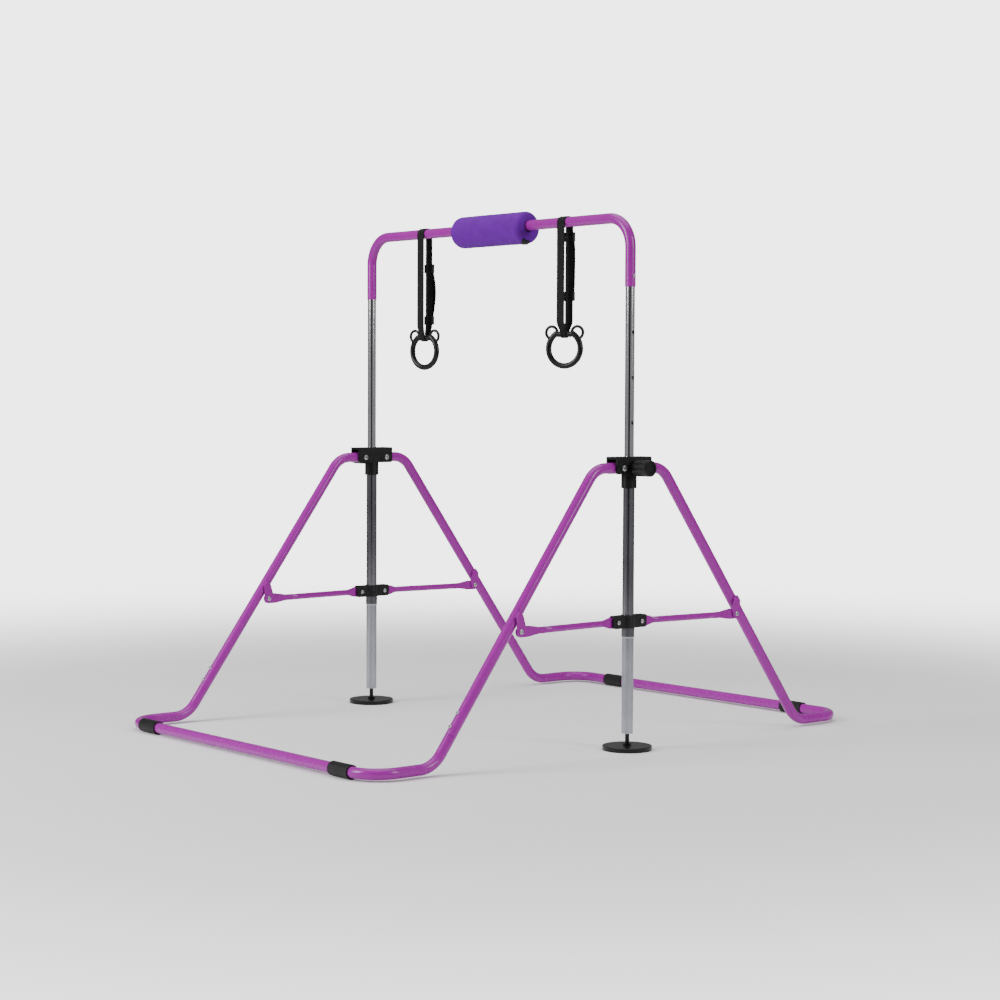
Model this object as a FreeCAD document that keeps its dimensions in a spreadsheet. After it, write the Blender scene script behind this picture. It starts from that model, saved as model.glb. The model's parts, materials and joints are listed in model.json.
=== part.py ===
import FreeCAD, Part
import math
import os
import re

from FreeCAD import Placement, Rotation, Vector

# A folding kip bar. Millimetres, +Z up, +X along the bar, origin on the floor under the
# bar's middle. The rest pose is the frame standing open.

SIZES = {
    "post_spacing": 1000.0,
    "base_depth": 1476.0,
    "bar_height": 1232.5,
    "bar_bend": 70.0,
    "bar_diameter": 25.0,
    "bar_bore": 22.2,
    "bar_leg_end": 1072.0,
    "button_height": 1097.0,
    "inner_post_diameter": 22.0,
    "inner_post_bore": 19.6,
    "inner_post_top": 1150.0,
    "inner_post_foot": 491.0,
    "hole_pitch": 104.0,
    "hole_diameter": 8.8,
    "outer_post_diameter": 27.0,
    "outer_post_bore": 24.0,
    "outer_post_top": 679.0,
    "post_joint": 266.0,
    "socket_length": 18.0,
    "socket_diameter": 30.0,
    "lower_post_foot": 38.0,
    "pivot_height": 655.0,
    "pivot_offset": 34.0,
    "pivot_bolt": 7.9,
    "pivot_hole": 8.0,
    "bracket_length": 108.0,
    "bracket_width": 38.0,
    "bracket_wall": 5.8,
    "bracket_above": 26.0,
    "bracket_below": 14.0,
    "hub_diameter": 36.0,
    "hub_foot": 608.0,
    "tube_diameter": 25.0,
    "tube_bore": 22.0,
    "tube_inner_end": 25.0,
    "knee_offset": 105.0,
    "knee_bend": 60.0,
    "ankle_offset": 572.0,
    "ankle_bend": 70.0,
    "seam_height": 80.0,
    "corner_bend": 68.0,
    "floor_axis": 16.0,
    "spigot_diameter": 21.8,
    "spigot_bore": 18.8,
    "leg_spigot": 70.0,
    "cross_spigot": 40.0,
    "front_cross_half": 396.0,
    "rear_cross_half": 338.0,
    "sleeve_length": 70.0,
    "sleeve_diameter": 32.0,
    "sleeve_bore": 25.2,
    "brace_height": 298.0,
    "brace_inner": 37.0,
    "brace_outer": 340.0,
    "brace_diameter": 15.0,
    "brace_end_width": 25.0,
    "brace_flat": 3.0,
    "brace_flat_length": 74.0,
    "brace_shift": 14.5,
    "brace_bolt": 5.9,
    "brace_hole": 6.0,
    "tab_gap": 16.5,
    "tab_thickness": 3.0,
    "slider_foot": 284.0,
    "slider_tall": 30.0,
    "slider_length": 104.0,
    "slider_bore": 27.6,
    "slider_collar": 34.0,
    "slider_wing": 5.0,
    "slider_gap": 6.0,
    "disc_diameter": 116.0,
    "disc_thickness": 10.0,
    "boss_diameter": 18.0,
    "boss_height": 5.0,
    "stem_diameter": 10.0,
    "stem_top": 110.0,
    "knob_diameter": 38.0,
    "knob_inner": 26.0,
    "knob_outer": 74.0,
    "pin_tip": 11.3,
    "foam_diameter": 80.0,
    "foam_length": 264.0,
    "foam_drop": 5.0,
    "foam_offset": 8.0,
    "foam_bore": 25.6,
    "strap_offset": 272.0,
    "strap_width": 25.0,
    "strap_thickness": 2.0,
    "strap_notch_width": 15.0,
    "strap_bar_bore": 25.6,
    "strap_ring_bore": 15.0,
    "left_ring_turn": 10.0,
    "right_ring_turn": 24.0,
    "ring_radius": 41.5,
    "ring_section": 14.0,
    "ring_centre": 933.0,
    "notch_height": 967.0,
    "ear_radius": 14.5,
    "ear_section": 7.2,
}

SIDES = {"left": -1, "right": 1}
ENDS = {"front": -1, "rear": 1}
# Shares of the way from the bar to a ring: where the buckles sit, and where the strap twists.
BUCKLES = {"left": (0.33, 0.83), "right": (0.13, 0.66)}
TWIST = (0.88, 1.0)
NARROWING = (0.88, 1.0)
X_AXIS, Y_AXIS, Z_AXIS = Vector(1, 0, 0), Vector(0, 1, 0), Vector(0, 0, 1)

doc = FreeCAD.newDocument("kip_bar")
sheet = doc.addObject("Spreadsheet::Sheet", "Sizes")
for row, (alias, size) in enumerate(SIZES.items(), start=1):
    sheet.set(f"A{row}", alias)
    sheet.set(f"B{row}", str(size))
    sheet.setAlias(f"B{row}", alias)
doc.recompute()

D = SIZES
HALF = D["post_spacing"] / 2
RUN = D["base_depth"] / 2
RISE = D["pivot_height"] - D["floor_axis"]
SLOPE = math.atan2(D["ankle_offset"] - D["knee_offset"], RISE)
sub_parts = []


def bind(thing, **sizes):
    """Set each property: a number as it is, words as an expression over the sheet's aliases."""
    for prop, size in sizes.items():
        if isinstance(size, str):
            words = re.sub(r"[a-z_]+", lambda m: "Sizes." + m.group() if m.group() in D else m.group(), size)
            thing.setExpression(prop, words)
        else:
            setattr(thing, prop, size)
    return thing


def place(thing, at, axis=Z_AXIS, turn=0.0):
    thing.Placement = Placement(Vector(*at), Rotation(Z_AXIS, axis) * Rotation(Z_AXIS, turn))
    return thing


def rod(diameter, length, at, axis=Z_AXIS, name="rod", **more):
    radius = f"({diameter}) / 2" if isinstance(diameter, str) else diameter / 2
    return place(bind(doc.addObject("Part::Cylinder", name), Radius=radius, Height=length, **more), at, axis)


def cone(low, high, length, at, axis=Z_AXIS):
    thing = bind(doc.addObject("Part::Cone", "cone"), Radius1=low, Radius2=high, Height=length)
    return place(thing, at, axis)


def block(length, width, height, at, turn=None, name="block"):
    """A box by its X, Y and Z sizes, with its least corner at a place, or turned about it."""
    box = bind(doc.addObject("Part::Box", name), Length=length, Width=width, Height=height)
    box.Placement = Placement(Vector(*at), turn or Rotation())
    return box


def hexagon(flats, length, at, axis=Z_AXIS):
    prism = doc.addObject("Part::Prism", "hexagon")
    return place(bind(prism, Polygon=6, Circumradius=flats / math.sqrt(3), Height=length), at, axis)


def join(pieces, name="join"):
    if len(pieces) == 1:
        return pieces[0]
    fused = doc.addObject("Part::MultiFuse", name)
    fused.Shapes = pieces
    return fused


def take(base, tools, name="take"):
    cut = doc.addObject("Part::Cut", name)
    cut.Base, cut.Tool = base, join(tools, "tools")
    return cut


def group(solids):
    """Several separate solids that share one node, such as a set of bolts."""
    compound = doc.addObject("Part::Compound", "group")
    compound.Links = solids
    return compound


def keep(label, thing):
    thing.Label = label
    sub_parts.append(thing)
    return thing


def wire_path(points, bends, name="path"):
    """A bent path: straight runs between the points, with an arc at each inner point."""
    points = [Vector(*p) for p in points]
    edges, start = [], points[0]
    for before, corner, after, bend in zip(points, points[1:], points[2:], bends):
        inward, outward = (before - corner).normalize(), (after - corner).normalize()
        half_turn = inward.getAngle(outward) / 2
        first = corner + inward * (bend / math.tan(half_turn))
        last = corner + outward * (bend / math.tan(half_turn))
        middle_way = (inward + outward).normalize()
        middle = corner + middle_way * (bend / math.sin(half_turn) - bend)
        edges += [Part.makeLine(start, first), Part.Arc(first, middle, last).toShape()]
        start = last
    edges.append(Part.makeLine(start, points[-1]))
    path = doc.addObject("Part::Feature", name)
    path.Shape = Part.Wire(edges)
    return path


def swept(path, diameter, first, second):
    """A round section carried along a path whose first run goes from first to second."""
    section = bind(doc.addObject("Part::Circle", "section"), Radius=f"{diameter} / 2")
    place(section, first, Vector(*second) - Vector(*first))
    sweep = doc.addObject("Part::Sweep", "sweep")
    sweep.Sections = [section]
    sweep.Spine = (path, [f"Edge{n + 1}" for n in range(len(path.Shape.Edges))])
    sweep.Solid, sweep.Frenet = True, False
    return sweep


def bent_tube(points, bends, outer="tube_diameter", bore="tube_bore", more=(), cuts=()):
    path = wire_path(points, bends)
    body = join([swept(path, outer, points[0], points[1]), *more], "wall")
    return take(body, [swept(path, bore, points[0], points[1]), *cuts])


def post_side(side):
    """The X of a post's axis and the outward sign."""
    return SIDES[side] * HALF, SIDES[side]


def build_top_bar():
    foot, top = D["bar_leg_end"], D["bar_height"]
    points = [(-HALF, 0, foot), (-HALF, 0, top), (HALF, 0, top), (HALF, 0, foot)]
    holes = [
        rod("pivot_hole", HALF, (SIDES[side] * HALF, 0, D["button_height"]), X_AXIS * SIDES[side])
        for side in SIDES
    ]
    keep("top_bar", bent_tube(points, [D["bar_bend"]] * 2, "bar_diameter", "bar_bore", cuts=holes))


def build_foam_pad():
    start = Vector(D["foam_offset"] - D["foam_length"] / 2, 0, D["bar_height"])
    pad = rod("foam_diameter", "foam_length", start - Z_AXIS * D["foam_drop"], X_AXIS)
    doc.recompute()
    soft = doc.addObject("Part::Fillet", "soft_ends")
    soft.Base = pad
    round_off = 12.0
    rims = [n + 1 for n, edge in enumerate(pad.Shape.Edges) if edge.Closed and len(edge.Vertexes) == 1]
    soft.Edges = [(n, round_off, round_off) for n in rims]
    keep("foam_pad", take(soft, [rod("foam_bore", "foam_length", start, X_AXIS)]))


def build_inner_posts():
    bushes = []
    for side in SIDES:
        x, out = post_side(side)
        tall = "inner_post_top - inner_post_foot"
        wall = rod("inner_post_diameter", tall, (x, 0, D["inner_post_foot"]))
        bore = rod("inner_post_bore", tall, (x, 0, D["inner_post_foot"]))
        heights = [D["pivot_height"] + n * D["hole_pitch"] for n in range(-1, 4)]
        holes = [rod("hole_diameter", HALF, (x, 0, z), X_AXIS * out) for z in heights]
        holes.append(rod("pivot_hole", HALF, (x, 0, D["button_height"]), X_AXIS * out))
        keep(f"{side}_inner_post", take(wall, [bore, *holes]))
        foot = D["inner_post_foot"]
        plug = join([rod(23.4, 8, (x, 0, foot - 8)), rod("inner_post_bore - 0.1", 20, (x, 0, foot))])
        bushes.append(take(plug, [rod(15, 40, (x, 0, foot - 10))]))
    keep("inner_post_bushes", group(bushes))


def build_posts():
    for side in SIDES:
        x, out = post_side(side)
        foot, joint = D["lower_post_foot"], D["post_joint"]
        seat = joint + 0.5
        upper = rod("outer_post_diameter", D["outer_post_top"] - seat, (x, 0, seat))
        bore = rod("outer_post_bore", 2 * HALF, (x, 0, foot))
        pin_way = rod(8.6, 30, (x, 0, D["pivot_height"]), X_AXIS * out)
        keep(f"{side}_outer_post", take(upper, [bore, pin_way]))
        tube = rod("outer_post_diameter", joint - foot, (x, 0, foot))
        flare = cone(D["outer_post_diameter"] / 2, D["socket_diameter"] / 2, 4, (x, 0, joint - 6))
        socket = rod("socket_diameter", D["socket_length"] + 2, (x, 0, joint - 2))
        inside = rod("outer_post_diameter + 0.1", 60, (x, 0, joint))
        lower_bore = rod("outer_post_bore", 2 * HALF, (x, 0, foot - 1))
        keep(f"{side}_lower_post", take(join([tube, flare, socket]), [inside, lower_bore]))


def build_guide_bushes():
    bushes, nuts = [], []
    for side in SIDES:
        x, _ = post_side(side)
        top, foot = D["outer_post_top"], D["lower_post_foot"]
        sleeve = rod("outer_post_bore - 0.1", 13, (x, 0, top - 12))
        ring = join([sleeve, rod("outer_post_diameter", 1.8, (x, 0, top + 0.05))])
        bushes.append(take(ring, [rod("inner_post_diameter + 0.6", 30, (x, 0, top - 20))]))
        plug = rod("outer_post_bore - 0.1", 22, (x, 0, foot))
        nuts.append(take(plug, [rod("stem_diameter + 0.2", 40, (x, 0, foot - 5))]))
    keep("post_guide_bushes", group(bushes))
    keep("foot_nuts", group(nuts))


def build_brackets():
    """Each bracket is a channel open below and at both ends, with a socket for the post."""
    for side in SIDES:
        x, out = post_side(side)
        long, wide, wall = D["bracket_length"], D["bracket_width"], D["bracket_wall"]
        floor = D["pivot_height"] - D["bracket_below"]
        tall = D["bracket_above"] + D["bracket_below"]
        shell = block("bracket_width", "bracket_length", tall, (x - wide / 2, -long / 2, floor))
        doc.recompute()
        eased = doc.addObject("Part::Fillet", "eased")
        eased.Base = shell
        ease = 5.0
        corners = [
            n + 1
            for n, edge in enumerate(shell.Shape.Edges)
            if abs(edge.tangentAt(edge.FirstParameter).x) > 0.9 and edge.CenterOfMass.z < floor + 1
        ]
        eased.Edges = [(n, ease, ease) for n in corners]
        hollow = block(wide - 2 * wall, long + 2, tall - 6, (x - wide / 2 + wall, -long / 2 - 1, floor))
        channel = take(eased, [hollow], "channel")
        hub = rod("hub_diameter", floor + tall - D["hub_foot"], (x, 0, D["hub_foot"]))
        post_way = rod("outer_post_diameter + 0.1", 200, (x, 0, D["hub_foot"] - 5))
        bolt_ways = [
            rod("pivot_hole", wide + 2, (x - wide / 2 - 1, end * D["pivot_offset"], D["pivot_height"]), X_AXIS)
            for end in ENDS.values()
        ]
        pin_way = rod(14.1, wide, (x, 0, D["pivot_height"]), X_AXIS * out)
        keep(f"{side}_bracket", take(join([channel, hub]), [post_way, pin_way, *bolt_ways]))


def bolt(x, y, z, half_grip, shank, head, head_tall, nut):
    """A bolt along X through the middle plane x: round head towards +X, nut towards -X."""
    stem = rod(shank, 2 * half_grip + nut / 2, (x - half_grip - nut / 2, y, z), X_AXIS)
    cap = rod(head, head_tall - 1, (x + half_grip, y, z), X_AXIS)
    crown = cone(head / 2, head / 2 - 1.4, 1, (x + half_grip + head_tall - 1, y, z), X_AXIS)
    socket = hexagon(head * 0.42, head_tall, (x + half_grip + head_tall * 0.4, y, z), X_AXIS)
    backing = hexagon(nut, nut / 2, (x - half_grip - nut / 2, y, z), X_AXIS)
    return join([take(join([cap, crown]), [socket]), stem, backing], "bolt")


def build_bracket_bolts():
    half_grip = D["bracket_width"] / 2 + 0.05
    bolts = [
        bolt(side * HALF, end * D["pivot_offset"], D["pivot_height"], half_grip, "pivot_bolt", 13, 4.5, 13)
        for side in SIDES.values()
        for end in ENDS.values()
    ]
    keep("bracket_bolts", group(bolts))


def build_pull_pins():
    """A spring-loaded locking pin in each bracket, drawn outwards by its knob."""
    housings, springs = [], []
    for side in SIDES:
        x, out = post_side(side)
        z, way = D["pivot_height"], X_AXIS * out

        def along(distance):
            return (x + out * distance, 0, z)

        barrel = join([rod(14, 26.4, along(13.7), way), hexagon(20, 4.5, along(19.1), way)])
        guide = rod("pivot_hole + 0.1", 30, along(5), way)
        chamber = rod(10.4, 18.4, along(19.6), way)
        exit_way = rod(5.2, 10, along(35), way)
        housings.append(take(barrel, [take(guide, [rod(30, 60, along(20), way)]), chamber, exit_way]))
        point = cone(2.95, 3.95, 1, along(D["pin_tip"]), way)
        tip = join([point, rod("pivot_bolt", 7.7, along(D["pin_tip"] + 1), way)])
        keep(f"{side}_lock_pin", join([tip, rod(5, 46, along(20), way)], "pin"))
        coil_radius = 4.7
        coil = bind(doc.addObject("Part::Helix", "coil"), Pitch=2.0, Height=14.0, Radius=coil_radius)
        coil.SegmentLength = 1.0
        doc.recompute()
        wire = bind(doc.addObject("Part::Circle", "wire"), Radius=0.38)
        wire.Placement = Placement(Vector(coil_radius, 0, 0), Rotation(Z_AXIS, Y_AXIS))
        spring = doc.addObject("Part::Sweep", "spring")
        spring.Sections = [wire]
        spring.Spine = (coil, [f"Edge{n + 1}" for n in range(len(coil.Shape.Edges))])
        spring.Solid, spring.Frenet = True, True
        springs.append(place(spring, along(21.5), way))
        length = D["knob_outer"] - D["knob_inner"]
        grip = rod("knob_diameter", length - 4, along(D["knob_inner"] + 2), way)
        lips = [
            cone(D["knob_diameter"] / 2 - 2, D["knob_diameter"] / 2, 2, along(D["knob_inner"]), way),
            cone(D["knob_diameter"] / 2, D["knob_diameter"] / 2 - 2, 2, along(D["knob_outer"] - 2), way),
        ]
        flutes = []
        count = 10
        for n in range(count):
            angle = 2 * math.pi * n / count
            y, dz = 20.2 * math.cos(angle), 20.2 * math.sin(angle)
            flutes.append(rod(6, length - 14, (x + out * (D["knob_inner"] - 1), y, z + dz), way))
        cavity = rod(19.6, 28, along(D["knob_inner"] - 1), way)
        pin_seat = rod(5.1, 14, along(52.5), way)
        dish = rod(24, 1.5, along(D["knob_outer"] - 1.5), way)
        keep(f"{side}_knob", take(join([grip, *lips]), [cavity, pin_seat, dish, *flutes]))
    keep("pin_housings", group(housings))
    keep("pin_springs", group(springs))


def build_snap_buttons():
    """A button and its leaf inside each inner post; the leaf's far arm stays on the post."""
    arms = []
    for side in SIDES:
        x, out = post_side(side)
        z, way = D["button_height"], X_AXIS * out
        stem = rod(7.6, 8.2, (x + out * 6.6, 0, z), way)
        dome = cone(3.8, 2.2, 1.6, (x + out * 14.8, 0, z), way)
        leaf_x = x + (6.0 if out > 0 else -6.8)
        leaf = block(0.8, 8, 44, (leaf_x, -4, z - 38))
        keep(f"{side}_snap_button", join([stem, dome, leaf]))
        arm_x = x + (-8.6 if out > 0 else 7.8)
        arm = block(0.8, 8, 60, (arm_x, -4, z - 56))
        fold_x = x + (-8.6 if out > 0 else -0.4)
        arms.append(join([arm, block(9, 8, 0.8, (fold_x, -4, z - 56))]))
    keep("snap_springs", group(arms))


def leg_frame(side, end):
    """The leg's axis at brace height, its way up and its way towards the post."""
    x, _ = post_side(side)
    sign = ENDS[end]
    up = Vector(0, -sign * math.sin(SLOPE), math.cos(SLOPE))
    inward = Vector(0, -sign * math.cos(SLOPE), -math.sin(SLOPE))
    pivot = Vector(x, sign * D["brace_outer"], D["brace_height"])
    knee = Vector(x, sign * D["knee_offset"], D["pivot_height"])
    reach = (pivot - knee).dot(inward)
    return pivot - inward * reach, up, inward, reach


def leg_points(side, end):
    """Points down a leg: pivot end, knee, seam, ankle, corner and the cross run's end."""
    x, out = post_side(side)
    sign, floor = ENDS[end], D["floor_axis"]
    slide = (D["pivot_height"] - D["seam_height"]) * math.tan(SLOPE)
    return {
        "top": (x, sign * D["tube_inner_end"], D["pivot_height"]),
        "knee": (x, sign * D["knee_offset"], D["pivot_height"]),
        "seam": (x, sign * (D["knee_offset"] + slide), D["seam_height"]),
        "ankle": (x, sign * D["ankle_offset"], floor),
        "corner": (x, sign * RUN, floor),
        "end": (out * (D[f"{end}_cross_half"] + 1), sign * RUN, floor),
    }


def build_legs():
    for end, sign in ENDS.items():
        screws, rivets = [], []
        for side in SIDES:
            x, _ = post_side(side)
            at = leg_points(side, end)
            axis_point, up, inward, reach = leg_frame(side, end)
            across = up.cross(X_AXIS)
            turn = Rotation(X_AXIS, across, up, "ZXY")
            pad = rod(23, "tab_thickness", axis_point + inward * reach + X_AXIS * D["tab_gap"], X_AXIS)
            root = block(D["tab_gap"] + D["tab_thickness"] - 9.5, 11.5, 14, (0, 0, 0))
            root.Placement = Placement(axis_point + up * 19 + X_AXIS * 9.5, turn)
            root.Placement.move(inward * (3.5 - (11.5 if across.dot(inward) > 0 else 0)))
            web = doc.addObject("Part::Feature", "web")
            outline = [(-9, 25), (4, 32.3), (15, 28), (33, 3.5), (33, -8), (19, -8), (-6, 11)]
            corners = [axis_point + up * u + inward * v + X_AXIS * D["tab_gap"] for u, v in outline]
            face = Part.Face(Part.makePolygon([*corners, corners[0]]))
            web.Shape = face.extrude(X_AXIS * D["tab_thickness"])
            start = (x - 20, sign * D["pivot_offset"], D["pivot_height"])
            cuts = [rod("pivot_hole", 40, start, X_AXIS)]
            seam_point = Vector(*at["seam"])
            for up_seam in (18, 53):
                place_on = seam_point + up * up_seam
                cuts.append(rod(5.0, 20, place_on, inward * -1))
                head = rod(8, 2.5, place_on - inward * 12.55, inward * -1)
                cap = cone(4, 2.8, 0.8, place_on - inward * 15.05, inward * -1)
                slot = hexagon(3.2, 3, place_on - inward * 13.9, inward * -1)
                shank = rod(4.8, 5.2, place_on - inward * 8.2, inward * -1)
                screws.append(join([take(join([head, cap]), [slot]), shank]))
            hole_at = axis_point + inward * reach + X_AXIS * (D["tab_gap"] - 3)
            cuts.append(rod("brace_hole", 10, hole_at, X_AXIS))
            points = [at["top"], at["knee"], at["seam"]]
            keep(f"{side}_{end}_leg", bent_tube(points, [D["knee_bend"]], more=[pad, root, web], cuts=cuts))
            rivet_at = axis_point + inward * reach + X_AXIS * D["tab_gap"]
            face = rivet_at + X_AXIS * (D["tab_thickness"] + 0.02)
            shank = rod("brace_bolt", "tab_thickness + 1", rivet_at, X_AXIS)
            dome = cone(5.5, 4, 0.8, face + X_AXIS * 1.6, X_AXIS)
            rivet = join([shank, rod(11, 1.6, face, X_AXIS), dome])
            rivets.append(take(rivet, [rod(4, 2, face + X_AXIS * 0.9, X_AXIS)]))
        keep(f"{end}_leg_screws", group(screws))
        keep(f"{end}_tab_rivets", group(rivets))


def build_corner_tubes():
    """The foot of each leg: one bend onto the floor, one round the corner, a spigot at each end."""
    for end, sign in ENDS.items():
        for side in SIDES:
            _, out = post_side(side)
            at = leg_points(side, end)
            _, up, _, _ = leg_frame(side, end)
            seam, last = Vector(*at["seam"]) - up * 0.5, Vector(*at["end"])
            along = X_AXIS * -out
            points = [tuple(seam), at["ankle"], at["corner"], tuple(last)]
            bends = [D["ankle_bend"], D["corner_bend"]]
            wall = swept(wire_path(points, bends), "tube_diameter", points[0], points[1])
            short = [tuple(seam - up * 6), at["ankle"], at["corner"], tuple(last - along * 6)]
            bore = swept(wire_path(short, bends), "tube_bore", short[0], short[1])
            spigots = [
                rod("spigot_diameter", D["leg_spigot"] + 4, seam - up * 4, up),
                rod("spigot_diameter", D["cross_spigot"] + 4, last - along * 4, along),
            ]
            ways = [
                rod("spigot_bore", D["leg_spigot"] + 20, seam - up * 8, up),
                rod("spigot_bore", D["cross_spigot"] + 20, last - along * 8, along),
            ]
            inward = leg_frame(side, end)[2]
            ways += [rod(5.0, 20, Vector(*at["seam"]) + up * n, inward * -1) for n in (18, 53)]
            keep(f"{side}_{end}_corner", take(join([wall, *spigots]), [bore, *ways]))
            outer_end = D[f"{end}_cross_half"] + D["sleeve_length"] / 2
            start = (out * outer_end, sign * RUN, D["floor_axis"])
            cover = rod("sleeve_diameter", "sleeve_length", start, along)
            keep(f"{side}_{end}_sleeve", take(cover, [rod("sleeve_bore", "sleeve_length", start, along)]))


def build_cross_tubes():
    for end, sign in ENDS.items():
        span, start = f"2 * {end}_cross_half", (-D[f"{end}_cross_half"], sign * RUN, D["floor_axis"])
        wall = rod("tube_diameter", span, start, X_AXIS)
        keep(f"{end}_cross_tube", take(wall, [rod("tube_bore", span, start, X_AXIS)]))


def build_sliders():
    for side in SIDES:
        x, _ = post_side(side)
        foot, tall, long = D["slider_foot"], D["slider_tall"], D["slider_length"]
        collar = rod("slider_collar", "slider_tall", (x, 0, foot))
        half_gap, wing = D["slider_gap"] / 2, D["slider_wing"]
        plates = []
        for low in (half_gap, -half_gap - wing):
            plate = block("slider_wing", "slider_length", "slider_tall", (x + low, -long / 2, foot))
            doc.recompute()
            eased = doc.addObject("Part::Fillet", "eased")
            eased.Base = plate
            ease = 6.0
            ends = [
                n + 1
                for n, edge in enumerate(plate.Shape.Edges)
                if abs(edge.tangentAt(edge.FirstParameter).x) > 0.9
            ]
            eased.Edges = [(n, ease, ease) for n in ends]
            plates.append(eased)
        way = rod("slider_bore", "slider_tall + 2", (x, 0, foot - 1))
        holes, bolts = [], []
        for end in ENDS.values():
            y = end * D["brace_inner"]
            holes.append(rod("brace_hole", 40, (x - 20, y, D["brace_height"]), X_AXIS))
            bolts.append(bolt(x, y, D["brace_height"], half_gap + wing + 0.05, "brace_bolt", 10, 3.6, 10))
        keep(f"{side}_slider", take(join([collar, *plates]), [way, *holes]))
        keep(f"{side}_slider_bolts", group(bolts))


def build_braces():
    """A tube with both ends pressed flat; the outer end lies beside its leg, clear of it."""
    flat, wide = D["brace_flat"], D["brace_end_width"]
    for end, sign in ENDS.items():
        for side in SIDES:
            x, _ = post_side(side)
            z = D["brace_height"]
            inner, outer, shift = D["brace_inner"], D["brace_outer"], D["brace_shift"]

            def bar_plate(x_middle, pivot, way, length):
                """A flat bar that narrows from its eye, seen along X."""
                narrow = D["brace_diameter"] / 2
                neck = min(55.0, length)
                profile = [(0, wide / 2), (22, wide / 2), (neck, narrow)]
                if length > neck:
                    profile.append((length, narrow))
                points = [(d, h) for d, h in profile] + [(d, -h) for d, h in reversed(profile)]
                corners = [Vector(x_middle - flat / 2, pivot + way * d, z + h) for d, h in points]
                plate = doc.addObject("Part::Feature", "plate")
                plate.Shape = Part.Face(Part.makePolygon([*corners, corners[0]])).extrude(X_AXIS * flat)
                eye = rod("brace_end_width", "brace_flat", (x_middle - flat / 2, pivot, z), X_AXIS)
                return [plate, eye]

            inner_flat, taper = 40.0, 16.0
            outer_flat = D["brace_flat_length"]
            first = Vector(x, sign * (inner + inner_flat), z)
            last = Vector(x + shift, sign * (outer - outer_flat), z)
            run = last - first
            way = run.normalize()
            start, stop = first + way * taper, last - way * taper
            round_part = rod("brace_diameter", (stop - start).Length, start, way)
            pieces = [round_part]
            inset = 0.2
            half_flat, narrow = flat / 2 - inset, D["brace_diameter"] / 2 - inset
            for flat_end, round_end, heading in ((first, start, way), (last, stop, way * -1)):
                back = Vector(0, math.copysign(3, heading.y), 0)
                corners = ((-1, -1), (1, -1), (1, 1), (-1, 1))
                ring = [
                    flat_end - back + X_AXIS * (a * half_flat) + Z_AXIS * (b * narrow) for a, b in corners
                ]
                press = doc.addObject("Part::Feature", "press")
                circle = Part.Wire(Part.Circle(round_end + heading, heading, narrow).toShape())
                press.Shape = Part.makeLoft([Part.makePolygon([*ring, ring[0]]), circle], True)
                pieces.append(press)
            pieces += bar_plate(x, sign * inner, sign, inner_flat)
            pieces += bar_plate(x + shift, sign * outer, -sign, outer_flat)
            holes = [
                rod("brace_hole", 10, (x - 5, sign * inner, z), X_AXIS),
                rod("brace_hole", 10, (x + shift - 5, sign * outer, z), X_AXIS),
            ]
            keep(f"{side}_{end}_brace", take(join(pieces), holes))


def build_feet():
    for side in SIDES:
        x, _ = post_side(side)
        thick, boss = D["disc_thickness"], D["boss_height"]
        disc = rod("disc_diameter", "disc_thickness - 1", (x, 0, 0))
        rim = cone(D["disc_diameter"] / 2, D["disc_diameter"] / 2 - 1, 1, (x, 0, thick - 1))
        collar = rod("boss_diameter", "boss_height", (x, 0, thick))
        seat = rod(9.0, thick + boss, (x, 0, 3))
        keep(f"{side}_foot_disc", take(join([disc, rim, collar]), [seat]))
        journal = rod(8.9, thick + boss, (x, 0, 3.3))
        low = thick + boss + 0.3
        thread = rod("stem_diameter", D["stem_top"] - low, (x, 0, low))
        keep(f"{side}_foot_stem", join([journal, thread]))


def strap_frame(side):
    """The strap's X and the ring's turn about the vertical."""
    turn = D[f"{side}_ring_turn"]
    return SIDES[side] * D["strap_offset"], turn


def eased_share(share, span):
    """0 before the span, 1 after it, and a smooth rise between."""
    part = min(max((share - span[0]) / (span[1] - span[0]), 0.0), 1.0)
    return part * part * (3 - 2 * part)


def strap_section(side, run, share):
    """Centre and turn of a strap run's cross-section, share 0 at the bar and 1 at the ring."""
    x, turn = strap_frame(side)
    thick = D["strap_thickness"]
    bar_gap = (D["strap_bar_bore"] + thick) / 2
    ring_gap = (D["strap_ring_bore"] + thick) / 2
    spin = turn * eased_share(share, TWIST)
    gap = bar_gap + (ring_gap - bar_gap) * eased_share(share, NARROWING)
    height = D["bar_height"] + (D["notch_height"] - D["bar_height"]) * share
    angle = math.radians(spin)
    centre = Vector(x - run * gap * math.sin(angle), run * gap * math.cos(angle), height)
    return centre, Rotation(Z_AXIS, spin)


def half_hoop(bore, width, at, turn, upper):
    """Half of a flat strap wrapped round a bar, its axis level and turned about the vertical."""
    wide, thick = D[width], D["strap_thickness"]
    facing = Rotation(Z_AXIS, turn) * Rotation(Y_AXIS, 90) * Rotation(Z_AXIS, 90 if upper else -90)
    start = Rotation(Z_AXIS, turn).multVec(Vector(-wide / 2, 0, 0)) + Vector(*at)
    outer = rod(bore + 2 * thick, width, (0, 0, 0), Angle=180.0)
    outer.Placement = Placement(start, facing)
    inner = rod(bore, width, (0, 0, 0))
    inner.Placement = Placement(start, facing)
    return take(outer, [inner])


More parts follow.
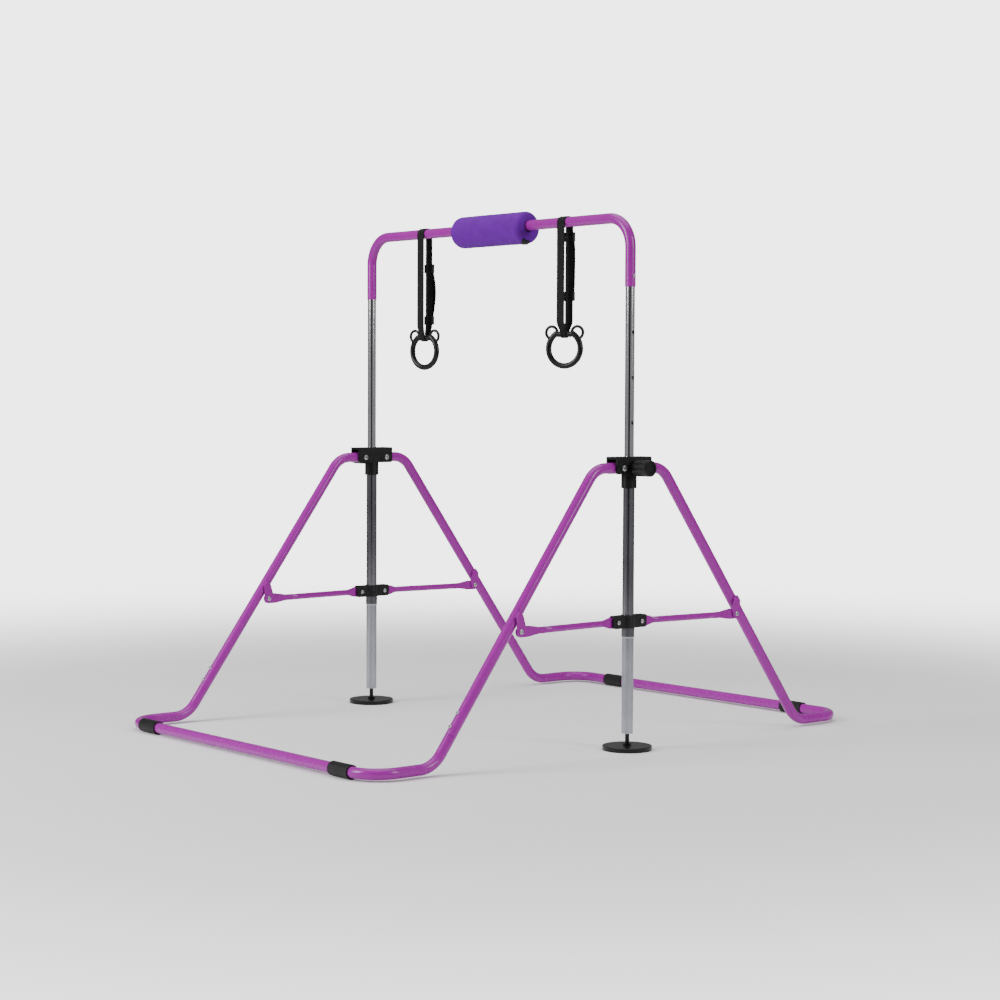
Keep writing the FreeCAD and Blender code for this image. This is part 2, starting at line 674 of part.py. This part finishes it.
def build_straps():
    wide, thick = D["strap_width"], D["strap_thickness"]
    for side in SIDES:
        x, turn = strap_frame(side)
        pieces = [
            half_hoop(D["strap_bar_bore"], "strap_width", (x, 0, D["bar_height"]), 0.0, True),
            half_hoop(D["strap_ring_bore"], "strap_notch_width", (x, 0, D["notch_height"]), turn, False),
        ]
        for run in ENDS.values():
            rings = []
            for share in (0.0, 0.88, 0.9, 0.92, 0.94, 0.96, 0.98, 1.0):
                centre, spin = strap_section(side, run, share)
                half = (wide + (D["strap_notch_width"] - wide) * eased_share(share, NARROWING)) / 2
                corners = [
                    centre + spin.multVec(Vector(a * half, b * thick / 2, 0))
                    for a, b in ((-1, -1), (1, -1), (1, 1), (-1, 1))
                ]
                rings.append(Part.makePolygon([*corners, corners[0]]))
            web = doc.addObject("Part::Feature", "webbing")
            web.Shape = Part.makeLoft(rings, True, True)
            pieces.append(web)
        keep(f"{side}_strap", join(pieces))
        buckles = []
        for share in BUCKLES[side]:
            centre, spin = strap_section(side, 1, share)
            frame = []
            slack = 0.4

            def bar(length, depth, tall, low_corner):
                piece = block(length, depth, tall, (0, 0, 0))
                piece.Placement = Placement(centre + spin.multVec(Vector(*low_corner)), spin)
                return piece

            half = wide / 2 + slack
            for low in (-half - 3, half):
                frame.append(bar(3, 8, 22, (low, -3, -11)))
            rear = thick / 2 + slack
            frame.append(bar(2 * half + 2, 3, 4, (-half - 1, rear, 7)))
            frame.append(bar(2 * half + 2, 3, 4, (-half - 1, rear, -11)))
            frame.append(bar(2 * half + 2, 1.6, 4, (-half - 1, -rear - 1.6, -2)))
            buckles.append(join(frame))
        keep(f"{side}_buckles", group(buckles))


def build_rings():
    """A hand ring shaped like a bear's head: a hoop with a dipped top and two ear loops."""
    radius, centre, dip = D["ring_radius"], D["ring_centre"], D["notch_height"]
    shoulder = 21.0
    shoulder_z = centre + math.sqrt(radius**2 - shoulder**2)
    seat = 15.8
    for side in SIDES:
        x, turn = strap_frame(side)
        spin = Rotation(Z_AXIS, turn)
        origin = Vector(x, 0, 0)

        def at(local_x, z):
            return origin + spin.multVec(Vector(local_x, 0, z))

        def ball(local_x, z):
            sphere = bind(doc.addObject("Part::Sphere", "ball"), Radius="ring_section / 2 + 0.04")
            sphere.Placement = Placement(at(local_x, z), Rotation())
            return sphere

        def hoop(ring, section, local_x, z):
            torus = bind(doc.addObject("Part::Torus", "hoop"), Radius1=ring, Radius2=f"{section} / 2")
            torus.Placement = Placement(at(local_x, z), spin * Rotation(X_AXIS, 90))
            return torus

        def strut(a, b):
            return rod("ring_section", (b - a).Length, a, b - a)

        gap = block(2 * shoulder, 40, 40, (0, 0, 0))
        gap.Placement = Placement(origin + spin.multVec(Vector(-shoulder, -20, centre + 15)), spin)
        pieces = [take(hoop("ring_radius", "ring_section", 0, centre), [gap])]
        left_seat, right_seat = at(-seat, dip), at(seat, dip)
        pieces += [strut(left_seat, right_seat), ball(-seat, dip), ball(seat, dip)]
        for sign in (-1, 1):
            pieces += [ball(sign * shoulder, shoulder_z)]
            pieces.append(strut(at(sign * seat, dip), at(sign * shoulder, shoulder_z)))
        hole_at = at(0, centre) + spin.multVec(Vector(0, -20, 0))
        hole = rod("2 * ring_radius", 40, hole_at, spin.multVec(Y_AXIS))
        ears = [hoop("ear_radius", "ear_section", sign * 33.5, centre + 38) for sign in (-1, 1)]
        pieces.append(take(join(ears), [hole]))
        keep(f"{side}_ring", join(pieces))


build_top_bar()
build_foam_pad()
build_inner_posts()
build_posts()
build_guide_bushes()
build_brackets()
build_bracket_bolts()
build_pull_pins()
build_snap_buttons()
build_legs()
build_corner_tubes()
build_cross_tubes()
build_sliders()
build_braces()
build_feet()
build_straps()
build_rings()
doc.recompute()

for thing in doc.Objects:
    if "Invalid" in thing.State or "Error" in thing.State:
        raise RuntimeError(f"{thing.Label} ({thing.Name}) failed: {thing.State}")
for part in sub_parts:
    if part.Shape.isNull() or not part.Shape.isValid() or not part.Shape.Solids:
        raise RuntimeError(f"{part.Label} has no valid solid")

os.makedirs("parts", exist_ok=True)
for part in sub_parts:
    part.Shape.exportStep(f"parts/{part.Label}.step")
    print(part.Label, len(part.Shape.Solids), round(part.Shape.Volume, 1))
print(len(sub_parts), "nodes")
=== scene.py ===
import json
import math

import bmesh
import bpy
from mathutils import Matrix, Vector, noise


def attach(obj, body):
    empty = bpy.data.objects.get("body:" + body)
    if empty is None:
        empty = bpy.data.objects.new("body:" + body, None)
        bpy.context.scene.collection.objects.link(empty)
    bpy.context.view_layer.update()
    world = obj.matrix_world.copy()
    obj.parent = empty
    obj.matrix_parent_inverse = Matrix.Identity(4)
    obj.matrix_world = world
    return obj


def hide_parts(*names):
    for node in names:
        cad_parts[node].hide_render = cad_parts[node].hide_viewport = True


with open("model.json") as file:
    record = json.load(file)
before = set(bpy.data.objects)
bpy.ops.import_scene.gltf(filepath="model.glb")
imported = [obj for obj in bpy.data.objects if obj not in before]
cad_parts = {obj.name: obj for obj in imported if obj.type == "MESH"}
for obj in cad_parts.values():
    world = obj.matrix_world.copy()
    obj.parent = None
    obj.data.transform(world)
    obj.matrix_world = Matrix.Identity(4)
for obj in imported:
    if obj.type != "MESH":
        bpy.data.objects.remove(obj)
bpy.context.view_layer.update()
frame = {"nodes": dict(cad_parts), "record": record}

# Metres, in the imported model's frame: +X along the bar, +Y to the rear, +Z up, floor at 0.

UP = Vector((0, 0, 1))
SIDES = {"left": -1, "right": 1}
BAR_Z = 1.2325
BAR_BORE = 0.0128  # clears the bar's radius by 0.3 mm
RING_BORE = 0.0075  # clears the radius of the ring's tube by 0.5 mm

# Straps. Shares run from 0 at the bar to 1 at the ring's notch.
STRAP_X = 0.272
NOTCH_Z = 0.967
STRAP_WIDTH = 0.027
NOTCH_WIDTH = 0.015
NARROWING = (0.88, 1.0)
RING_TURN = {"left": 10.0, "right": 24.0}  # degrees about Z
BUCKLES = {"left": (0.33, 0.83), "right": (0.13, 0.66)}
WEB = 0.0019
BAR_WRAP = BAR_BORE + WEB / 2
RING_WRAP = RING_BORE + WEB / 2
EDGE_LOOPS = {"pitch": 0.0035, "depth": 0.0008}
RIB_SHARE = 0.10
TAIL_PAST = (0.035, 0.04)  # beyond the upper and the lower buckle
TAIL_BOW = {"left": 0.0095, "right": 0.006}

PAD = {"start": -0.124, "stop": 0.140, "radius": 0.0399, "shoulder": 0.013, "drop": 0.005}

# The silver lower posts turn dark above this height.
BAND_Z = 0.264
BAND_EDGE = 0.0004
BAND_COLOUR = (0.13, 0.13, 0.14, 1.0)

FLOOR_REACH = 40.0
FLOOR_FADE = (1.0, 4.6)  # solid up to the first distance, clear from the second
AMBIENT, BACKDROP = 0.30, 4.0
CENTRE = (0.0, 0.0, 0.6)


# ---- materials -------------------------------------------------------------------------

def srgb(red, green, blue):
    """An 8-bit display colour as linear RGBA."""
    def channel(level):
        level /= 255
        return level / 12.92 if level <= 0.04045 else ((level + 0.055) / 1.055) ** 2.4

    return (channel(red), channel(green), channel(blue), 1.0)


class Finish:
    """A Principled material whose colour, roughness and bump come from small node chains."""

    def __init__(self, name, **sockets):
        self.material = bpy.data.materials.new(name)
        self.material.use_nodes = True
        self.tree = self.material.node_tree
        self.shader = self.tree.nodes["Principled BSDF"]
        for socket, level in sockets.items():
            self.shader.inputs[socket.replace("_", " ")].default_value = level
        self.place = self.add("ShaderNodeTexCoord").outputs["Object"]
        self.height = None

    def add(self, kind, **settings):
        node = self.tree.nodes.new(kind)
        for setting, level in settings.items():
            if setting in node.inputs:
                node.inputs[setting].default_value = level
            else:
                setattr(node, setting, level)
        return node

    def link(self, source, target):
        self.tree.links.new(source, target)

    def stretched(self, scale):
        """Object coordinates scaled on each axis, to draw a texture out into grain."""
        mapping = self.add("ShaderNodeMapping")
        mapping.inputs["Scale"].default_value = scale
        self.link(self.place, mapping.inputs["Vector"])
        return mapping.outputs["Vector"]

    def noise(self, scale, detail=4.0, rough=0.55, vector=None):
        node = self.add("ShaderNodeTexNoise", Scale=scale, Detail=detail, Roughness=rough)
        self.link(vector or self.place, node.inputs["Vector"])
        return node.outputs["Fac"]

    def cells(self, scale):
        node = self.add("ShaderNodeTexVoronoi", Scale=scale)
        self.link(self.place, node.inputs["Vector"])
        return node.outputs["Distance"]

    def times(self, first, second):
        node = self.add("ShaderNodeMath", operation="MULTIPLY")
        self.link(first, node.inputs[0])
        self.link(second, node.inputs[1])
        return node.outputs[0]

    def ramp(self, factor, low, high, start=0.3, stop=0.7, curve="LINEAR"):
        node = self.add("ShaderNodeMapRange", interpolation_type=curve)
        ends = {"From Min": start, "From Max": stop, "To Min": low, "To Max": high}
        for socket, level in ends.items():
            node.inputs[socket].default_value = level
        self.link(factor, node.inputs["Value"])
        return node.outputs["Result"]

    def mix(self, factor, first, second):
        node = self.add("ShaderNodeMix", data_type="RGBA")
        self.link(factor, node.inputs["Factor"])
        for socket, colour in ((node.inputs[6], first), (node.inputs[7], second)):
            if isinstance(colour, tuple):
                socket.default_value = colour
            else:
                self.link(colour, socket)
        return node.outputs[2]

    def worn(self, colour, edge_colour, amount):
        """Mix towards another colour on convex edges, broken up by noise."""
        geometry = self.add("ShaderNodeNewGeometry")
        edges = self.ramp(geometry.outputs["Pointiness"], 0.0, amount, 0.56, 0.66)
        patches = self.ramp(self.noise(160.0), 0.0, 1.0, 0.4, 0.6)
        return self.mix(self.times(edges, patches), colour, edge_colour)

    def colour(self, source):
        self.link(source, self.shader.inputs["Base Color"])
        return self

    def roughness(self, scale, low, high, vector=None):
        uneven = self.ramp(self.noise(scale, vector=vector), low, high)
        self.link(uneven, self.shader.inputs["Roughness"])
        return self

    def bump(self, factor, strength, depth):
        """Add a layer of bump over any that the material already has."""
        node = self.add("ShaderNodeBump", Strength=strength, Distance=depth)
        self.link(factor, node.inputs["Height"])
        if self.height is not None:
            self.link(self.height, node.inputs["Normal"])
        self.height = node.outputs["Normal"]
        self.link(self.height, self.shader.inputs["Normal"])
        return self


def paint(name, base, deep, wear):
    """Powder coat: faint mottling, orange-peel bump and pale rubbed edges."""
    made = Finish(name, Coat_Weight=0.10, Coat_Roughness=0.15, Specular_IOR_Level=0.32)
    mottled = made.mix(made.ramp(made.noise(14.0), 0.0, 1.0), deep, base)
    speckled = made.mix(made.ramp(made.noise(900.0, 2.0), 0.0, 0.05, 0.45, 0.7), mottled, wear)
    made.colour(made.worn(speckled, wear, 0.12)).roughness(60.0, 0.22, 0.30)
    made.bump(made.noise(650.0, 2.0), 0.05, 0.0002)
    return made.bump(made.noise(45.0), 0.05, 0.0004).material


def plated(name, base, dull, low, high, band=None):
    """Plated tube: drawing marks along its length, faint smears and, if asked, a dark band."""
    made = Finish(name, Metallic=1.0)
    along = made.stretched((420.0, 420.0, 6.0))
    smears = made.ramp(made.noise(9.0, 5.0), 0.0, 1.0, 0.35, 0.7)
    skin = made.mix(smears, base, dull)
    if band:
        height = made.add("ShaderNodeSeparateXYZ")
        made.link(made.place, height.inputs[0])
        step = made.ramp(height.outputs["Z"], 0.0, 1.0, band - BAND_EDGE, band + BAND_EDGE)
        skin = made.mix(step, skin, BAND_COLOUR)
    made.colour(skin).roughness(1.0, low, high, along)
    return made.bump(made.noise(30.0), 0.03, 0.0004).material


def moulded(name, base, scuffed, low, high, grain, depth):
    """Moulded plastic or rubber: a fine spark-eroded grain, scuffed where it sticks out."""
    made = Finish(name, Specular_IOR_Level=0.3)
    lighter = tuple(level * 1.5 for level in base[:3]) + (1.0,)
    clouded = made.mix(made.ramp(made.noise(25.0), 0.0, 1.0), base, lighter)
    made.colour(made.worn(clouded, scuffed, 0.5)).roughness(80.0, low, high)
    return made.bump(made.noise(grain, 3.0), 0.25, depth).material


def hardware(name, base, dark):
    """Zinc plate: cloudy crystals, tiny pits and brighter worn corners."""
    made = Finish(name, Metallic=1.0)
    cloudy = made.mix(made.ramp(made.cells(420.0), 0.0, 1.0, 0.1, 0.8), base, dark)
    made.colour(made.worn(cloudy, (0.85, 0.85, 0.86, 1.0), 0.8)).roughness(200.0, 0.24, 0.42)
    return made.bump(made.noise(500.0), 0.1, 0.0003).material


def foam_skin(name):
    """Closed-cell foam: open pores in a matt skin, darkened with painted shade, with soft dents and
    faint scuffs.
    """
    made = Finish(name, Sheen_Weight=0.04, Sheen_Roughness=0.5, Specular_IOR_Level=0.12)
    pores = made.ramp(made.cells(850.0), 1.0, 0.0, 0.0, 0.35)
    patches = made.ramp(made.noise(35.0, 6.0), 0.0, 1.0)
    body = made.mix(patches, srgb(92, 10, 138), srgb(102, 13, 154))
    # The pores are painted a deeper purple: painted shade, as if shade fell into each pore.
    pores_with_painted_shade = made.mix(made.ramp(pores, 0.0, 0.35, 0.2, 1.0), body, srgb(64, 6, 104))
    made.colour(pores_with_painted_shade).roughness(120.0, 0.72, 0.9)
    return made.bump(pores, -0.35, 0.0005).bump(made.noise(55.0, 3.0), 0.25, 0.0012).material


def webbing_weave(name):
    """Black webbing: ribs across it and two sets of yarns, from UVs in metres, with the yarns'
    crests lighter as a painted highlight.
    """
    made = Finish(name, Sheen_Weight=0.06, Sheen_Roughness=0.4, Specular_IOR_Level=0.25)
    uv = made.add("ShaderNodeUVMap").outputs["UV"]
    yarns = []
    for axis, scale in (("X", 190.0), ("Y", 130.0)):
        wave = made.add("ShaderNodeTexWave", Scale=scale, Distortion=0.6, bands_direction=axis)
        wave.inputs["Detail Scale"].default_value = 2.0
        made.link(uv, wave.inputs["Vector"])
        yarns.append(wave.outputs["Fac"])
    weave = made.times(*yarns)
    # The crests of the weave are mixed lighter: a painted highlight on the yarns, not a second yarn
    # colour.
    black = made.mix(made.ramp(weave, 0.0, 1.0, 0.1, 0.8), srgb(2, 2, 3), srgb(13, 13, 15))
    dusty = made.mix(made.ramp(made.noise(120.0), 0.0, 0.3, 0.45, 0.7), black, srgb(20, 20, 22))
    made.colour(dusty).roughness(300.0, 0.6, 0.85)
    return made.bump(weave, 0.6, 0.0006).bump(made.noise(1500.0), 0.2, 0.0002).material


def floor_sheet(name):
    """A pale studio floor that fades out into the white behind it."""
    made = Finish(name, Roughness=0.75, Specular_IOR_Level=0.15)
    made.colour(made.mix(made.noise(2.0), (0.93, 0.93, 0.935, 1.0), (0.95, 0.95, 0.95, 1.0)))
    made.bump(made.noise(90.0), 0.05, 0.001)
    reach = made.add("ShaderNodeVectorMath", operation="LENGTH")
    made.link(made.place, reach.inputs[0])
    fade = made.ramp(reach.outputs["Value"], 1.0, 0.0, *FLOOR_FADE, curve="SMOOTHERSTEP")
    made.link(fade, made.shader.inputs["Alpha"])
    return made.material


def dark_card(name):
    """A nearly black matt card."""
    made = Finish(name, Roughness=1.0, Specular_IOR_Level=0.0)
    made.colour(made.mix(made.noise(3.0), (0.012, 0.012, 0.014, 1.0), (0.02, 0.02, 0.022, 1.0)))
    return made.material


# One finish for each material slot of the record.
FINISHES = {
    "purple_paint": paint(
        "purple_paint", srgb(152, 20, 150), srgb(146, 18, 144), srgb(190, 100, 190)),
    "silver_paint": plated(
        "silver_satin", (0.40, 0.41, 0.45, 1.0), (0.31, 0.32, 0.36, 1.0), 0.20, 0.32, BAND_Z),
    "chrome": plated(
        "chrome_bright", (0.68, 0.68, 0.70, 1.0), (0.58, 0.58, 0.61, 1.0), 0.08, 0.15),
    "zinc": hardware("zinc_plate", (0.62, 0.62, 0.63, 1.0), (0.42, 0.42, 0.44, 1.0)),
    "spring_steel": hardware("spring_wire", (0.35, 0.35, 0.36, 1.0), (0.2, 0.2, 0.21, 1.0)),
    "black_plastic": moulded(
        "black_plastic", srgb(7, 7, 9), srgb(34, 34, 38), 0.32, 0.48, 1400.0, 0.0002),
    "black_gloss": moulded(
        "black_gloss", srgb(6, 6, 8), srgb(24, 24, 28), 0.26, 0.36, 700.0, 0.00003),
    "black_rubber": moulded(
        "black_rubber", srgb(9, 9, 10), srgb(32, 32, 34), 0.45, 0.62, 900.0, 0.0003),
    "foam": foam_skin("foam_skin"),
    "webbing": webbing_weave("webbing_weave"),
}

# Pieces that look unlike the rest of their slot, by their node's name without its side.
SPECIAL = {
    # The outer posts get a darker copy of the chrome: a painted reflection of the dark
    # surroundings, in place of the chrome's own colour.
    "outer_post": plated(
        "chrome_painted_dark_reflection", (0.26, 0.26, 0.28, 1.0), (0.20, 0.20, 0.22, 1.0), 0.14, 0.22),
    "foot_disc": FINISHES["black_gloss"],
}


def dress(thing, material):
    thing.data.materials.clear()
    thing.data.materials.append(material)


slots = {entry["node"]: entry["material_slot"] for entry in frame["record"]["subparts"]}
for node, thing in frame["nodes"].items():
    special = SPECIAL.get(node.split("_", 1)[-1])
    dress(thing, special or FINISHES[slots[node]])


# ---- soft pieces -----------------------------------------------------------------------

def mesh_piece(name, bm, material, smooth=True):
    mesh = bpy.data.meshes.new(name)
    bm.normal_update()
    bm.to_mesh(mesh)
    bm.free()
    for face in mesh.polygons:
        face.use_smooth = smooth
    thing = bpy.data.objects.new(name, mesh)
    bpy.context.scene.collection.objects.link(thing)
    dress(thing, material)
    return thing


def bridge(bm, rings, closed_loop=False):
    """Quads between neighbouring rings of vertices."""
    faces = []
    pairs = list(zip(rings, rings[1:])) + ([(rings[-1], rings[0])] if closed_loop else [])
    for first, second in pairs:
        count = len(first)
        for n in range(count):
            m = (n + 1) % count
            faces.append(bm.faces.new((first[n], first[m], second[m], second[n])))
    return faces


def foam_pad():
    """A moulded foam sleeve with soft shoulders, slightly uneven as real foam is."""
    start, stop, radius, soft = (PAD[key] for key in ("start", "stop", "radius", "shoulder"))
    around, along, bend = 96, 44, 8
    swells, sunk = ((28.0, 0.0006), (90.0, 0.0002)), 0.0005
    even_to, dropped_from = 0.003, 0.006  # distances out from the bore

    # Each end as (distance in from the end, radius), from the bore outwards.
    end = [(0.001, BAR_BORE), (0.0, BAR_BORE + 0.002), (0.0, 0.018), (0.0, 0.022)]
    for n in range(bend + 1):
        angle = math.pi / 2 * n / bend
        end.append((soft - soft * math.cos(angle), radius - soft + soft * math.sin(angle)))
    length = stop - start - 2 * soft
    profile = [(start + inset, r) for inset, r in end]
    profile += [(start + soft + length * n / along, radius) for n in range(1, along)]
    profile += [(stop - inset, r) for inset, r in reversed(end)]

    bm = bmesh.new()
    rings = []
    for x, r in profile:
        ring = []
        for n in range(around):
            angle = 2 * math.pi * n / around
            spot = Vector((x, r * math.cos(angle), r * math.sin(angle)))
            if r > BAR_BORE + even_to:
                wave = sum(noise.noise(spot * scale) * size for scale, size in swells)
                spot += Vector((0, math.cos(angle), math.sin(angle))) * (wave - sunk)
            sag = PAD["drop"] * min(1.0, (r - BAR_BORE) / dropped_from)
            ring.append(bm.verts.new(spot + UP * (BAR_Z - sag)))
        rings.append(ring)
    bridge(bm, rings, closed_loop=True)
    pad = mesh_piece("foam_sleeve", bm, FINISHES["foam"])
    rounding = pad.modifiers.new("smooth", "SUBSURF")
    rounding.levels = rounding.render_levels = 1
    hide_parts("foam_pad")
    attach(pad, "bar_frame")


def pad_dark_patch():
    """A small thin black patch laid under the right end of the pad."""
    columns, rows = 16, 12
    inset, length, sunk, proud = 0.022, 0.021, 0.0008, 0.0012
    begin, wrap, taper = -84, 40, 0.35  # degrees, degrees, and the inner end's share of the wrap
    stop, soft = PAD["stop"], PAD["shoulder"]
    bm = bmesh.new()
    layers = []
    for lift in (-sunk, proud):
        sheet = []
        for i in range(columns + 1):
            x = stop - inset + length * i / columns
            past = max(0.0, x - (stop - soft))
            radius = PAD["radius"] - soft + math.sqrt(max(soft**2 - past**2, 1e-8)) + lift
            row = []
            for j in range(rows + 1):
                turn = wrap * j / rows * (taper + (1 - taper) * i / columns)
                angle = math.radians(begin - turn)
                height = BAR_Z - PAD["drop"] + radius * math.sin(angle)
                row.append(bm.verts.new((x, radius * math.cos(angle), height)))
            sheet.append(row)
        layers.append(sheet)
    for sheet in layers:
        for i in range(columns):
            for j in range(rows):
                corners = (sheet[i][j], sheet[i + 1][j], sheet[i + 1][j + 1], sheet[i][j + 1])
                bm.faces.new(corners)
    low, high = layers
    for i in range(columns):
        for j in (0, rows):
            bm.faces.new((low[i][j], low[i + 1][j], high[i + 1][j], high[i][j]))
    for j in range(rows):
        for i in (0, columns):
            bm.faces.new((low[i][j], low[i][j + 1], high[i][j + 1], high[i][j]))
    bmesh.ops.recalc_face_normals(bm, faces=bm.faces)
    dark_patch = mesh_piece("pad_dark_patch", bm, FINISHES["black_rubber"])
    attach(dark_patch, "bar_frame")


def eased_share(share, span):
    """0 before the span, 1 after it, and a smooth rise between."""
    part = min(max((share - span[0]) / (span[1] - span[0]), 0.0), 1.0)
    return part * part * (3 - 2 * part)


def run_station(side, run, share):
    """Centre, scaled width direction and normal on the front (-1) or rear (1) run."""
    near = eased_share(share, NARROWING)
    turn = math.radians(RING_TURN[side]) * near
    gap = BAR_WRAP + (RING_WRAP - BAR_WRAP) * near
    width = 1 + (NOTCH_WIDTH / STRAP_WIDTH - 1) * near
    outward = Vector((-math.sin(turn), math.cos(turn), 0)) * run
    height = BAR_Z + (NOTCH_Z - BAR_Z) * share
    centre = Vector((SIDES[side] * STRAP_X, 0, height)) + outward * gap
    return centre, Vector((math.cos(turn), math.sin(turn), 0)) * width, outward


def half_turn(centre, radius, across, first, second, steps):
    """Stations round half a circle, from the first direction through the second."""
    stations = []
    for n in range(steps + 1):
        angle = math.pi * n / steps
        outward = first * math.cos(angle) + second * math.sin(angle)
        stations.append((centre + outward * radius, across, outward))
    return stations


def webbing(name, stations, closed=True):
    """Flat webbing through stations of (centre, across, normal), its edges lightly looped."""
    bm = bmesh.new()
    uv_layer = bm.loops.layers.uv.new("weave")
    half, thick = STRAP_WIDTH / 2, WEB / 2
    outline = [(-1.0, -0.45), (-0.94, -1), (-0.5, -1), (0, -1), (0.5, -1), (0.94, -1), (1.0, -0.45)]
    outline += [(-a, -b) for a, b in outline]
    rings, run, place = [], 0.0, {}
    before = None
    for centre, across, normal in stations:
        if before is not None:
            run += (centre - before).length
        before = centre
        beat = math.sin(2 * math.pi * run / EDGE_LOOPS["pitch"])
        swell = 1 + EDGE_LOOPS["depth"] / half * beat
        rib = 1 + RIB_SHARE * beat
        ring = []
        for a, b in outline:
            vert = bm.verts.new(centre + across * (a * half * swell) + normal * (b * thick * rib))
            place[vert] = (a * half, run)
            ring.append(vert)
        rings.append(ring)
    faces = bridge(bm, rings, closed)
    if not closed:
        faces += [bm.faces.new(rings[0]), bm.faces.new(rings[-1])]
    bmesh.ops.recalc_face_normals(bm, faces=bm.faces)
    for face in bm.faces:
        for loop in face.loops:
            loop[uv_layer].uv = place[loop.vert]
    return mesh_piece(name, bm, FINISHES["webbing"])


def strap(side):
    """The closed loop: down the front, round the ring's notch, up the rear and over the bar."""
    x, steps = SIDES[side] * STRAP_X, 300
    _, narrow, ahead = run_station(side, 1, 1.0)
    notch, bar = Vector((x, 0, NOTCH_Z)), Vector((x, 0, BAR_Z))
    stations = [run_station(side, -1, n / steps) for n in range(steps)]
    stations += half_turn(notch, RING_WRAP, narrow, -ahead, -UP, 18)
    stations += [run_station(side, 1, 1 - n / steps) for n in range(1, steps)]
    stations += half_turn(bar, BAR_WRAP, Vector((1, 0, 0)), Vector((0, 1, 0)), UP, 24)
    piece = webbing(f"{side}_webbing", stations)
    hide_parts(f"{side}_strap")
    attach(piece, f"{side}_hanger")


def strap_tail(side):
    """The spare webbing, threaded through both buckles and bowed out between them."""
    upper, lower = BUCKLES[side]
    first, last, steps = upper - TAIL_PAST[0], lower + TAIL_PAST[1], 120
    resting, waver = WEB * 1.06, 0.0012
    stations = []
    for n in range(steps + 1):
        share = first + (last - first) * n / steps
        centre, across, outward = run_station(side, 1, share)
        inside = min(max((share - upper) / (lower - upper), 0.0), 1.0)
        lift = resting + TAIL_BOW[side] * math.sin(math.pi * inside) ** 0.8
        stray = waver * math.sin(2.2 * math.pi * inside + SIDES[side])
        stations.append((centre + outward * lift + across * stray, across, outward))
    tail = webbing(f"{side}_webbing_tail", stations, closed=False)
    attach(tail, f"{side}_hanger")


foam_pad()
pad_dark_patch()
for side in SIDES:
    strap(side)
    strap_tail(side)


# ---- stage -----------------------------------------------------------------------------

def flat_sheet(name, width, depth, material):
    """A rectangle round its own origin, facing its own +Z."""
    bm = bmesh.new()
    corners = ((-1, -1), (1, -1), (1, 1), (-1, 1))
    bm.faces.new([bm.verts.new((a * width / 2, b * depth / 2, 0)) for a, b in corners])
    return mesh_piece(name, bm, material, smooth=False)


def aim(thing, place, target):
    """Stand a lamp or card at a place, with its own -Z towards the target."""
    thing.location = place
    thing.rotation_euler = (Vector(target) - Vector(place)).to_track_quat("-Z", "Y").to_euler()


def floor():
    ground = flat_sheet("floor", 2 * FLOOR_REACH, 2 * FLOOR_REACH, floor_sheet("floor_sheet"))
    ground.location.z = -0.0005


def softbox(name, place, target, size, power):
    light = bpy.data.lights.new(name, "AREA")
    light.shape, light.size, light.size_y, light.energy = "RECTANGLE", size[0], size[1], power
    lamp = bpy.data.objects.new(name, light)
    aim(lamp, place, target)
    bpy.context.scene.collection.objects.link(lamp)


def flag(name, place, target, width, height):
    """A dark card seen only in reflections, which gives plated tubes their dark core."""
    card = flat_sheet(name, width, height, dark_card(f"{name}_card"))
    aim(card, place, target)
    card.visible_camera = card.visible_diffuse = card.visible_shadow = False


def world_light():
    """Soft even light, with a brighter white seen directly behind the object."""
    world = bpy.data.worlds.new("studio")
    bpy.context.scene.world = world
    world.use_nodes = True
    nodes, links = world.node_tree.nodes, world.node_tree.links
    background = nodes["Background"]
    background.inputs["Color"].default_value = (1.0, 1.0, 1.0, 1.0)
    path = nodes.new("ShaderNodeLightPath")
    strength = nodes.new("ShaderNodeMapRange")
    strength.inputs["To Min"].default_value = AMBIENT
    strength.inputs["To Max"].default_value = BACKDROP
    links.new(path.outputs["Is Camera Ray"], strength.inputs["Value"])
    links.new(strength.outputs["Result"], background.inputs["Strength"])


def camera():
    """The photograph's camera, as solved from the object's proportions."""
    yaw, pitch, roll = math.radians(50.26), math.radians(2.768), math.radians(-0.245)
    place, focal_length = (4.2362, -3.4936, 0.8261), 79.58
    level = math.cos(pitch)
    ahead = Vector((-math.sin(yaw) * level, math.cos(yaw) * level, -math.sin(pitch)))
    right = Vector((math.cos(yaw), math.sin(yaw), 0))
    down = ahead.cross(right)
    right, down = (
        right * math.cos(roll) + down * math.sin(roll),
        down * math.cos(roll) - right * math.sin(roll),
    )
    lens = bpy.data.cameras.new("camera")
    lens.sensor_width, lens.lens = 36.0, focal_length
    lens.clip_end = 200.0
    eye = bpy.data.objects.new("camera", lens)
    turn = Matrix((right, -down, -ahead)).transposed()
    eye.matrix_world = Matrix.Translation(place) @ turn.to_4x4()
    bpy.context.scene.collection.objects.link(eye)
    bpy.context.scene.camera = eye


floor()
world_light()
softbox("key", (-1.2, -4.5, 2.6), CENTRE, (2.0, 2.6), 230.0)
softbox("fill", (4.8, 1.2, 2.6), CENTRE, (1.4, 2.6), 110.0)
softbox("top", (0.0, 0.0, 4.5), (0.0, 0.0, 0.0), (4.0, 4.0), 120.0)
flag("camera_flag", (3.6, -3.6, 1.4), CENTRE, 3.2, 3.4)
flag("far_flag", (-3.4, -0.6, 1.2), CENTRE, 1.2, 3.0)
camera()
